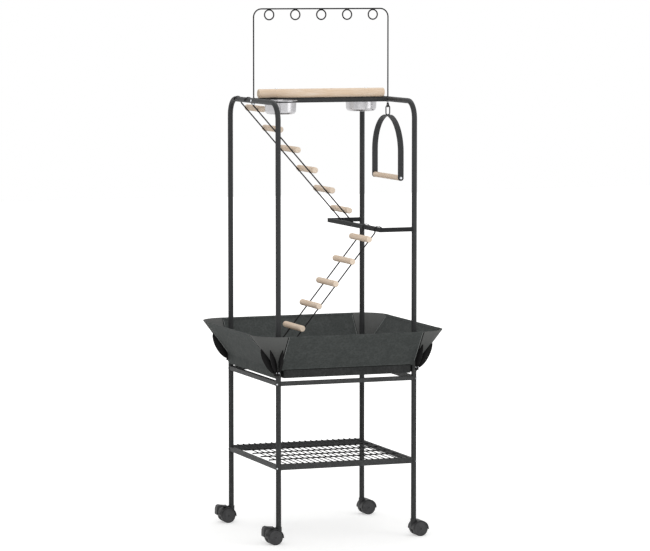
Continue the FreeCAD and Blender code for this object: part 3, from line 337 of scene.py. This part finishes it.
def sanded_wood(name, axis, pale, warm, fibre, end):
    """Long-grained wood whose fibres run along one axis."""
    material, tree, shader = finish_named(name, IOR=1.45)
    coordinates = add(tree, "ShaderNodeTexCoord")
    where = coordinates.outputs["Object"]
    squeeze = [1.0, 1.0, 1.0]
    squeeze[axis] = 0.07
    along = add(tree, "ShaderNodeMapping", {"Vector": where, "Scale": squeeze})
    bands = add(tree, "ShaderNodeTexNoise",
                {"Vector": along.outputs["Vector"], "Scale": 1 / (9 * MM), "Detail": 3.0,
                 "Distortion": 0.8})
    fibres = add(tree, "ShaderNodeTexNoise",
                 {"Vector": along.outputs["Vector"], "Scale": 1 / (1.3 * MM), "Detail": 6.0,
                  "Roughness": 0.75})
    colour = ramp(tree, bands.outputs["Fac"],
                  [(0.30, paint(pale)), (0.55, paint(warm)), (0.72, paint(pale))])
    lines = add(tree, "ShaderNodeMapRange", {"Value": fibres.outputs["Fac"], "From Min": 0.52,
                                             "From Max": 0.78, "To Min": 0.0, "To Max": 0.5})
    grained = add(tree, "ShaderNodeMix", {"Factor": lines.outputs["Result"], "A": colour,
                                          "B": paint(fibre)}, data_type="RGBA")
    facing = add(tree, "ShaderNodeSeparateXYZ", {"Vector": coordinates.outputs["Normal"]})
    sawn = add(tree, "ShaderNodeMath", {0: facing.outputs[axis]}, operation="ABSOLUTE")
    sawn = add(tree, "ShaderNodeMapRange", {"Value": sawn.outputs[0], "From Min": 0.55,
                                            "From Max": 0.9})
    mixed = add(tree, "ShaderNodeMix", {"Factor": sawn.outputs["Result"],
                                        "A": grained.outputs["Result"], "B": paint(end)},
                data_type="RGBA")
    sheen = add(tree, "ShaderNodeMapRange", {"Value": fibres.outputs["Fac"], "To Min": 0.58,
                                             "To Max": 0.78})
    connect(tree, shader, mixed.outputs["Result"], sheen.outputs["Result"],
            fibres.outputs["Fac"], 0.5, 0.12)
    return material


wood_along_x = sanded_wood("sanded_pine_along_x", 0, "#e9d7c4", "#dfc6ab", "#c2a07c", "#e2cbb0")
wood_along_y = sanded_wood("sanded_pine_along_y", 1, "#e9d8c5", "#dfc8b0", "#c3a484", "#e8d6c2")

# %% [markdown]
# ## Bare metal
#
# The bowls are drawn from stainless sheet and brushed upward, so fine upright
# lines run round them and stretch reflections sideways.  Nuts, bolts and screws
# are bright zinc plate, rougher and slightly bluish.  Both are true metals:
# metallic 1, and colour is the colour of the reflection.

# %% Metal materials


def bright_metal(name, light, dark, middle, line_mm, radius_mm, roughness):
    """Metal with fine lines that run up a wall round an upright axis."""
    material, tree, shader = finish_named(name, Metallic=1.0)
    where = add(tree, "ShaderNodeTexCoord").outputs["Object"]
    centred = add(tree, "ShaderNodeVectorMath", {0: where, 1: Vector(middle) * MM},
                  operation="SUBTRACT")
    around = add(tree, "ShaderNodeTexGradient", {"Vector": centred.outputs["Vector"]},
                 gradient_type="RADIAL")
    level = add(tree, "ShaderNodeSeparateXYZ", {"Vector": centred.outputs["Vector"]})
    unrolled = add(tree, "ShaderNodeCombineXYZ", {"X": around.outputs["Fac"],
                                                  "Y": level.outputs["Z"]})
    count = 2 * math.pi * radius_mm / line_mm
    lines = add(tree, "ShaderNodeTexNoise",
                {"Vector": unrolled.outputs["Vector"], "Scale": count, "Detail": 3.0,
                 "Roughness": 0.7})
    colour = ramp(tree, lines.outputs["Fac"], [(0.32, paint(dark)), (0.66, paint(light))])
    sheen = add(tree, "ShaderNodeMapRange", {"Value": lines.outputs["Fac"],
                                             "To Min": roughness - 0.05,
                                             "To Max": roughness + 0.08})
    connect(tree, shader, colour, sheen.outputs["Result"], lines.outputs["Fac"], 0.25, 0.02)
    return material


BOWL_MIDDLES = {"bowl_left": (-172.5, -76, 1434), "bowl_right": (172.5, 76, 1434)}
stainless = {node: bright_metal(f"brushed_stainless_steel_{node}", "#bfbec0", "#a6a5a7",
                                middle, line_mm=2.6, radius_mm=53, roughness=0.28)
             for node, middle in BOWL_MIDDLES.items()}
zinc = bright_metal("bright_zinc_plate", "#e3e5e8", "#c6c9cd", (0, 0, 0), 1.5, 300, 0.32)

# %% [markdown]
# ## Dress the CAD pieces
#
# Every node keeps its mesh and place and only gets its finish.  The first word
# or two of a node's name say what it is made of, so a short list of rules covers
# all sixty.

# %% Assign the finishes
RULES = (
    ("bowl_holder", wire_coat), ("corner_guard", lit_guard_coat), ("corner_ribs", rib_plastic_with_painted_shade),
    ("cross_bar", satin_coat), ("left_upper", satin_coat), ("right_upper", satin_coat),
    ("lower_ladder_rungs", wood_along_y), ("upper_ladder_rungs", wood_along_y),
    ("lower_ladder_wires", wire_coat), ("upper_ladder_wires", wire_coat),
    ("middle_frame", shaded_coat), ("perch", wood_along_x), ("pull_out_pan", shaded_pan_coat),
    ("shelf_grate", wire_coat), ("swing_dowel", wood_along_y), ("swing_strap", satin_coat),
    ("toy_hanger", wire_coat),
)


def finish_for(node):
    """The finish of a CAD node, from its name."""
    if node in stainless:
        return stainless[node]
    if node.startswith("caster"):
        return wheel_plastic if "wheel" in node else housing_plastic
    if node.endswith("skirt"):
        return tray_coat
    if node.endswith("rail"):
        return lit_rail_coat
    return next((material for start, material in RULES if node.startswith(start)), hammered_coat)


for name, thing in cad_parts.items():
    for slot in thing.material_slots:
        slot.material = finish_for(name)
print("dressed", len(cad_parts), "nodes")

# %% [markdown]
# ## Tools for small pieces
#
# Fasteners are turned or forged: their shape is a stack of rings, some round and
# some six-sided.  One function skins such a stack.  Welds, edges and seams are
# an oval bead carried along a line, and a second function sweeps them.  Both
# work in millimetres, and a third turns the mesh into a named piece.

# %% Piece helpers
SEGMENTS = 24


def round_ring(angle):
    return 1.0


def hexagon(angle):
    """How far a hexagon's side is from its middle, over half its width across flats."""
    return 1 / math.cos(angle % (math.pi / 3) - math.pi / 6)


def cross_slot(angle):
    """The outline of a cross recess."""
    return 0.32 + 0.68 * abs(math.cos(2 * angle)) ** 6


def seat(point, outward):
    """A matrix from local millimetres, z outward, to metres in the row frame."""
    turn = Vector(outward).to_track_quat("Z", "Y").to_matrix().to_4x4()
    return Matrix.Translation(Vector(point) * MM) @ turn @ Matrix.Scale(MM, 4)


def skin(bm, place, rings, hollow=False):
    """Skins (radius, height, shape) rings; hollow joins the last to the first."""
    loops = []
    for radius, height, shape in rings:
        angles = [2 * math.pi * i / SEGMENTS for i in range(SEGMENTS)]
        loops.append([bm.verts.new(place @ Vector((radius * shape(a) * math.cos(a),
                                                   radius * shape(a) * math.sin(a), height)))
                      for a in angles])
    pairs = list(zip(loops, loops[1:])) + ([(loops[-1], loops[0])] if hollow else [])
    for low, high in pairs:
        for i in range(SEGMENTS):
            j = (i + 1) % SEGMENTS
            bm.faces.new((low[i], low[j], high[j], high[i]))
    if not hollow:
        bm.faces.new(list(reversed(loops[0])))
        bm.faces.new(loops[-1])


def sweep(bm, points, up, half_width, half_height, closed=False, ripple=0.0, sides=8):
    """Carries an oval section along points in millimetres, its height along up."""
    count = len(points)
    loops = []
    for i, point in enumerate(points):
        after = points[(i + 1) % count] if closed or i < count - 1 else point
        before = points[i - 1] if closed or i else point
        ahead = (after - before).normalized()
        side = ahead.cross(up[i]).normalized()
        rise = side.cross(ahead)
        swell = 1 + ripple * math.sin(2.4 * i)
        loops.append([bm.verts.new((point + swell * (side * half_width * math.cos(a)
                                                     + rise * half_height * math.sin(a))) * MM)
                      for a in (2 * math.pi * k / sides for k in range(sides))])
    for low, high in zip(loops, loops[1:] + (loops[:1] if closed else [])):
        for k in range(sides):
            m = (k + 1) % sides
            bm.faces.new((low[k], low[m], high[m], high[k]))
    if not closed:
        bm.faces.new(list(reversed(loops[0])))
        bm.faces.new(loops[-1])


def make_piece(name, bm, material, body, sharp=38):
    """A finished piece from its mesh: smooth except at sharp edges, on its body."""
    bmesh.ops.recalc_face_normals(bm, faces=bm.faces)
    mesh = bpy.data.meshes.new(name)
    bm.to_mesh(mesh)
    bm.free()
    mesh.shade_smooth()
    mesh.set_sharp_from_angle(angle=math.radians(sharp))
    mesh.materials.append(material)
    thing = bpy.data.objects.new(name, mesh)
    scene.collection.objects.link(thing)
    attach(thing, body)
    print(f"{name}: {len(mesh.polygons)} faces on {body}")
    return thing


# %% Fasteners


def button_screw(bm, point, outward, radius, rise):
    """A domed head with a six-sided socket."""
    rings = [(radius, -0.4, round_ring), (radius, 0.25 * rise, round_ring)]
    for share in (0.25, 0.5, 0.75, 1.0):
        angle = share * math.pi / 2
        rings.append((radius * (0.5 + 0.5 * math.cos(angle)),
                      rise * (0.25 + 0.75 * math.sin(angle)), round_ring))
    rings += [(0.46 * radius, rise, round_ring), (0.40 * radius, 0.97 * rise, hexagon),
              (0.38 * radius, 0.35 * rise, hexagon)]
    skin(bm, seat(point, outward), rings)


def pan_screw(bm, point, outward, radius, rise):
    """A flatter head with a cross recess."""
    rings = [(radius, -0.4, round_ring), (radius, 0.3 * rise, round_ring),
             (0.93 * radius, 0.68 * rise, round_ring), (0.74 * radius, 0.93 * rise, round_ring),
             (0.60 * radius, rise, round_ring), (0.52 * radius, rise, cross_slot),
             (0.34 * radius, 0.4 * rise, cross_slot)]
    skin(bm, seat(point, outward), rings)


def hex_nut(bm, point, outward, across, thick, bore):
    """A nut with both faces chamfered."""
    half = across / 2
    skin(bm, seat(point, outward),
         [(bore, 0.3, round_ring), (bore + 0.5, 0, round_ring), (0.95 * half, 0, round_ring),
          (half, 0.18 * thick, hexagon), (half, 0.82 * thick, hexagon),
          (0.95 * half, thick, round_ring), (bore + 0.5, thick, round_ring),
          (bore, thick - 0.3, round_ring)], hollow=True)


def washer(bm, point, outward, radius, thick, bore):
    skin(bm, seat(point, outward),
         [(bore, 0, round_ring), (radius - 0.3, 0, round_ring), (radius, 0.3, round_ring),
          (radius, thick - 0.3, round_ring), (radius - 0.3, thick, round_ring),
          (bore, thick, round_ring)], hollow=True)


# %% [markdown]
# ## Fasteners of the frame
#
# The stand comes flat packed, so its owner bolts it together.  Bright dots in the
# photograph give most of the places: two screws at the foot of each corner's
# leaf ribs, one bolt outside each leg at the two lower rail levels, one at each
# end of the cross bar, two through the perch, and nuts under the frame tops
# where the toy hanger's ends come through.

# %% Tray and leg fasteners
LEG = 240
TUBE = 8.75
RIB_COLLAR = 16
DIAGONAL = math.sqrt(0.5)
CORNERS = [(sx, sy) for sx in (-1, 1) for sy in (-1, 1)]
# Each corner screw's angle from the front or back, in degrees, and its head's radius.
CORNER_SCREWS = ((8, 3.3), (45, 2.6))
CORNER_SCREW_LEVEL = 570
BOLT_LEVELS = (251.5, 530.6)

screws = bmesh.new()
for sx, sy in CORNERS:
    for degrees, radius in CORNER_SCREWS:
        out = Vector((sx * math.sin(math.radians(degrees)),
                      sy * math.cos(math.radians(degrees)), 0))
        middle = Vector((sx * LEG, sy * LEG, CORNER_SCREW_LEVEL)) + out * RIB_COLLAR
        pan_screw(screws, middle, out, radius, 2.0)
make_piece("tray_corner_screws", screws, zinc, "stand")

bolts = bmesh.new()
for sx, sy in CORNERS:
    out = Vector((sx * DIAGONAL, sy * DIAGONAL, 0))
    for level in BOLT_LEVELS:
        button_screw(bolts, Vector((sx * LEG, sy * LEG, level)) + out * TUBE, out, 2.8, 2.0)
make_piece("leg_bolts", bolts, zinc, "stand")

# %% Upper fasteners
FRAME_TOP = 1453.3
PERCH_TOP = FRAME_TOP + TUBE + 30 - 0.6
PERCH_SCREW_AT = 160
upper = bmesh.new()
up = Vector((0, 0, 1))
for sx in (-1, 1):
    out = Vector((sx, 0, 0))
    button_screw(upper, Vector((sx * (LEG + TUBE), 0, FRAME_TOP)), out, 3.5, 2.6)
    pan_screw(upper, Vector((sx * PERCH_SCREW_AT, 0, PERCH_TOP - 0.2)), up, 5.0, 2.6)
make_piece("frame_and_perch_screws", upper, zinc, "stand")

nuts = bmesh.new()
UNDER_TOP = FRAME_TOP - TUBE
# The right nut is thinner, because the wire opens into the swing's eye just below it.
for sx, thick in ((-1, 4.2), (1, 2.4)):
    washer(nuts, (sx * LEG, 0, UNDER_TOP + 0.6), -up, 5.6, 1.2, 2.4)
    hex_nut(nuts, (sx * LEG, 0, UNDER_TOP - 0.6), -up, 8.6, thick, 2.35)
make_piece("toy_hanger_nuts", nuts, zinc, "stand")

# %% [markdown]
# ## Fasteners of the loose parts
#
# A round screw holds each end of the swing's dowel, and it shows as a bright
# dot on the strap.  The ladder wires lie in notches across the rungs, and a
# short staple over each crossing holds them: a bent wire with two legs, driven
# into the wood.  They move with the swing and the ladders.

# %% Swing screws
DOWEL_LEVEL = 1192
DOWEL_HALF = 120
swing_screws = bmesh.new()
for sy in (-1, 1):
    button_screw(swing_screws, (LEG, sy * DOWEL_HALF, DOWEL_LEVEL), (0, sy, 0), 4.4, 2.4)
make_piece("swing_dowel_screws", swing_screws, zinc, "swing")

# %% Ladder staples
RUNGS = 6
FIRST_RUNG = 50
RUNG_STEP = 93
WIRE_FROM_MIDDLE = 54.5
BOW_RADIUS = 3.2


def ladder_staples(name, body, origin, down_the_ladder, outward):
    """A staple over each wire at each rung, its bow along the rung."""
    staples = bmesh.new()
    across = Vector((0, 1, 0))
    for i in range(RUNGS):
        for half in (-WIRE_FROM_MIDDLE, WIRE_FROM_MIDDLE):
            middle = origin + down_the_ladder * (FIRST_RUNG + RUNG_STEP * i) + across * half
            # The wire's axis is 2 mm out from the hook's line; the bow passes below it.
            wire = middle + outward * 2
            bow = []
            for step in range(11):
                angle = math.pi * step / 10
                bow.append(wire + across * (BOW_RADIUS * math.cos(angle))
                           - outward * (BOW_RADIUS * math.sin(angle)))
            legs = outward * 3.5
            points = [bow[0] + legs] + bow + [bow[-1] + legs]
            sweep(staples, points, [down_the_ladder] * len(points), 0.8, 0.8, sides=6)
    return make_piece(name, staples, wire_coat, body)


UPPER_SLOPE = math.radians(48.40)
LOWER_SLOPE = math.radians(50.76)
UPPER_HOOK = Vector((-240, 108, 1452.1))
LOWER_HOOK = Vector((122, -158, 1029))
ladder_staples("upper_ladder_staples", "upper_ladder", UPPER_HOOK,
               Vector((math.cos(UPPER_SLOPE), 0, -math.sin(UPPER_SLOPE))),
               Vector((math.sin(UPPER_SLOPE), 0, math.cos(UPPER_SLOPE))))
ladder_staples("lower_ladder_staples", "lower_ladder", LOWER_HOOK,
               Vector((-math.cos(LOWER_SLOPE), 0, -math.sin(LOWER_SLOPE))),
               Vector((-math.sin(LOWER_SLOPE), 0, math.cos(LOWER_SLOPE))))

# %% [markdown]
# ## Weld beads
#
# Rails, cross bar and middle frame are welded before they are coated, and the
# coat follows the bead.  A bead is a small rippled roll where the coped end of
# one tube meets the round wall of another.  Its line is worked out from both
# tubes: points round the rail's outline, each pushed along the rail until it
# lies on the leg.

# %% Weld beads


def square_outline(half_wide, half_tall, per_side=7):
    """Points round a square tube's outline, (across, up), none at the corners."""
    points = []
    sides = (((-1, -1), (1, -1)), ((1, -1), (1, 1)), ((1, 1), (-1, 1)), ((-1, 1), (-1, -1)))
    for (x0, y0), (x1, y1) in sides:
        for step in range(per_side):
            share = (step + 0.5) / per_side
            points.append(((x0 + (x1 - x0) * share) * half_wide,
                           (y0 + (y1 - y0) * share) * half_tall))
    return points


def weld(bm, place_point, outline, leg_offset, radius=1.25):
    """A closed bead: outline points are pushed onto a leg tube of radius TUBE."""
    points, ups = [], []
    for across, up in outline:
        reach = math.sqrt(max(TUBE ** 2 - (across + leg_offset) ** 2, 0.2))
        points.append(place_point(reach, across, up))
        ups.append((place_point(reach, across * 2, up * 2)
                    - place_point(reach, across, up)).normalized())
    sweep(bm, points, ups, radius, radius, closed=True, ripple=0.12, sides=6)


welds = bmesh.new()
LEVELS = (("shelf", 246, 9.5, 7), ("tray", 525, 7, 7), ("top", 577, 7, 7))
for level, foot, half_tall_along_x, half_tall_along_y in LEVELS:
    offset = 1.75 if level == "top" else 0.0
    for sx, sy in CORNERS:
        square = square_outline(7, half_tall_along_x)
        weld(welds, lambda reach, across, up, sx=sx, sy=sy, tall=half_tall_along_x:
             Vector((sx * (LEG - reach), sy * (LEG + offset) + across, foot + tall + up)),
             square, sy * offset)
        square = square_outline(7, half_tall_along_y)
        weld(welds, lambda reach, across, up, sx=sx, sy=sy, tall=half_tall_along_y:
             Vector((sx * (LEG + offset) + across, sy * (LEG - reach), foot + tall + up)),
             square, sx * offset)
make_piece("rail_welds", welds, hammered_coat, "stand", sharp=60)

frame_welds = bmesh.new()
for sy in (-1, 1):
    weld(frame_welds, lambda reach, across, up, sy=sy:
         Vector((LEG - reach, sy * LEG + across, 1029 + up)), square_outline(7, 7), 0.0)
for sx in (-1, 1):
    circle = [(TUBE * math.cos(a), TUBE * math.sin(a))
              for a in (2 * math.pi * k / 36 for k in range(36))]
    points = [Vector((sx * (LEG - abs(math.sqrt(max(TUBE ** 2 - up ** 2, 0)))), across,
                      FRAME_TOP + up)) for across, up in circle]
    ups = [Vector((0, across, up)).normalized() for across, up in circle]
    sweep(frame_welds, points, ups, 1.3, 1.3, closed=True, ripple=0.12, sides=6)
make_piece("frame_welds", frame_welds, satin_coat, "stand", sharp=60)

# %% [markdown]
# ## Seams of the tray
#
# Each corner of the tray is a separate sheet between two panels.  The panel's
# cut edge catches the light, and beside it the open joint is in shadow.  The
# edge is a thin pale bead, a painted highlight, and the joint's shadow a flat
# matt black strip, a painted shadow; both are carried along the line where the
# corner piece ends, outside and inside the tray.  On the side panels the painted
# shadow of the joint is wider than on the front and back.  A last black strip,
# a painted shadow, lies along the lower hem of the front skirt, for the dark
# line that the photograph shows there above the pan.

# %% Seam materials and lines
BEND, RIM, RIM_REACH = 582, 696, 94
SEAM_FOOT = 590
INNER_SEAM_TOP = 688
# The panels' inner face: its distance from the leg axis at the seam's foot, and its lean.
INNER_FOOT = 14.62
LEAN = 0.733
WALL = 1.2
# The black strip is a painted shadow of the open joint, and the pale bead a painted highlight on
# the panel's cut edge.
gap_shadow_paint = moulded_plastic("matt_black_painted_gap_shadow", "#0c0c0c", "#080808", 2.0, 0.8, ior=1.2)
edge_highlight_paint = powder_coat("painted_highlight_on_sheet_edge", "#a2a5a4", "#747776", cell_mm=4.0,
                       dip_mm=0.05, roughness=0.5)


def outer_reach(level):
    """How far the corner sheet's outer face is from the leg axis at a height."""
    low = TUBE + 2 * WALL + 0.05
    return low + (RIM_REACH + 1.3 * WALL - low) * (level - BEND) / (RIM - BEND)


def inner_reach(level):
    """How far the panels' inner face is from the leg axis at a height."""
    return INNER_FOOT + LEAN * (level - SEAM_FOOT)


def wing(level, on_side_panel):
    """How far the corner sheet laps onto a panel at a height."""
    if not on_side_panel:
        return 4.0
    return 8.0 + 14.0 * max(level - 650, 0) / (RIM - 650)


def seam(bm, sx, sy, on_side_panel, reach_at, lap_at, lift, half_width, half_height, top=RIM - 1):
    """A bead up a panel's end; lap is its distance from the leg axis along the panel."""
    points, ups = [], []
    for step in range(25):
        level = SEAM_FOOT + (top - SEAM_FOOT) * step / 24
        reach = LEG + reach_at(level) + lift
        along = LEG - lap_at(level)
        if on_side_panel:
            points.append(Vector((sx * reach, sy * along, level)))
            ups.append(Vector((sx, 0, -0.6)).normalized())
        else:
            points.append(Vector((sx * along, sy * reach, level)))
            ups.append(Vector((0, sy, -0.6)).normalized())
    sweep(bm, points, ups, half_width, half_height, sides=8)


# %% Tray seams
# Half widths of the painted edge highlight and the painted shadow of the joint, on front and side
# panels.
SEAM_WIDTHS = {False: (0.8, 1.6), True: (2.1, 3.6)}
edge_highlights, gap_shadows = bmesh.new(), bmesh.new()
for sx, sy in CORNERS:
    for on_side_panel, (edge, gap_shadow) in SEAM_WIDTHS.items():
        seam(edge_highlights, sx, sy, on_side_panel, outer_reach,
             lambda level: wing(level, on_side_panel) + edge + 0.6, -0.9, edge, 0.55)
        seam(gap_shadows, sx, sy, on_side_panel, outer_reach,
             lambda level: wing(level, on_side_panel) - gap_shadow, 0.1, gap_shadow, 0.35)
        seam(edge_highlights, sx, sy, on_side_panel, inner_reach, lambda level: 2.4 + edge, 0.0,
             0.7 * edge, 0.5, top=INNER_SEAM_TOP)
        seam(gap_shadows, sx, sy, on_side_panel, inner_reach, lambda level: 1.2 - 0.4 * gap_shadow,
             0.9, 0.6 * gap_shadow, 0.45, top=INNER_SEAM_TOP)
# A painted shadow: a black strip along the front skirt's lower hem, above the pan.
hem_shadow_line = [Vector((x, -(LEG + TUBE + WALL), BEND - 3.9)) for x in range(-224, 225, 28)]
sweep(gap_shadows, hem_shadow_line, [Vector((0, 0, 1))] * len(hem_shadow_line), 0.35, 0.95, sides=8)
# Pale beads are painted highlights; black strips are painted shadows.
make_piece("tray_panel_edge_highlights", edge_highlights, edge_highlight_paint, "stand")
make_piece("tray_corner_gap_shadows", gap_shadows, gap_shadow_paint, "stand")
